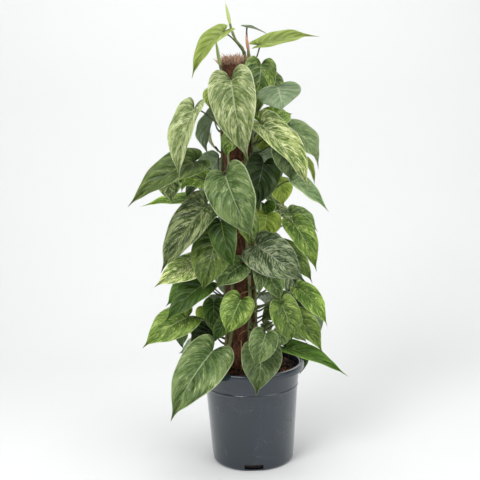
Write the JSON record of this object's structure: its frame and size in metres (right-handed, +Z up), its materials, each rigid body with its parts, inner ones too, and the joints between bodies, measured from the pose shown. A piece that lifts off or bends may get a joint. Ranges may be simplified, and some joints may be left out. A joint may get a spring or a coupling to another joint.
{
  "type": "potted climbing plant on a moss pole",
  "caption": "Variegated heart-leaf climbing plant trained up a coir pole, with trailing pointed leaves all round, in a tapered dark nursery pot.",
  "frame": {"origin": "centre of the underside of the pot, on the surface it stands on", "axes": "+Z up along the pot's axis and the pole; +X to the right and -Y towards the viewer of the plant's front"},
  "size_m": [0.2989, 0.2215, 0.66],
  "materials": {
    "pot_plastic": "satin moulded polypropylene, blue-grey",
    "potting_mix": "damp peat with bark and coir chips",
    "stake_wood": "rough sawn",
    "coir": "matted coconut fibre",
    "green_stem": "smooth living stem",
    "leaf": "waxy leaf, streaked cream and yellow-green"
  },
  "bodies": {
    "root": {"pot": "pot_plastic", "soil": "potting_mix", "pole_stake": "stake_wood", "coir_sleeve": "coir", "leaf_01": "leaf", "leaf_02": "leaf", "leaf_03": "leaf", "leaf_04": "leaf", "leaf_05": "leaf", "leaf_06": "leaf", "leaf_07": "leaf", "leaf_08": "leaf", "leaf_09": "leaf", "leaf_10": "leaf", "leaf_11": "leaf", "leaf_12": "leaf", "leaf_13": "leaf", "leaf_14": "leaf", "leaf_15": "leaf", "leaf_16": "leaf", "leaf_17": "leaf", "leaf_18": "leaf", "leaf_19": "leaf", "leaf_20": "leaf", "leaf_21": "leaf", "leaf_22": "leaf", "leaf_23": "leaf", "leaf_24": "leaf", "leaf_25": "leaf", "leaf_26": "leaf", "leaf_27": "leaf", "leaf_28": "leaf", "leaf_29": "leaf", "leaf_30": "leaf", "leaf_31": "leaf", "leaf_32": "leaf", "leaf_33": "leaf", "leaf_34": "leaf", "leaf_35": "leaf", "leaf_36": "leaf", "leaf_37": "leaf", "leaf_38": "leaf", "leaf_39": "leaf", "leaf_40": "leaf", "leaf_41": "leaf", "leaf_42": "leaf", "leaf_43": "leaf", "leaf_44": "leaf", "leaf_45": "leaf", "leaf_46": "leaf", "leaf_47": "leaf", "leaf_48": "leaf", "leaf_49": "leaf", "leaf_50": "leaf", "stem_back": "green_stem", "stem_front_left": "green_stem", "stem_front_right": "green_stem", "stem_left": "green_stem", "stem_right": "green_stem"}
  },
  "joints": []
}
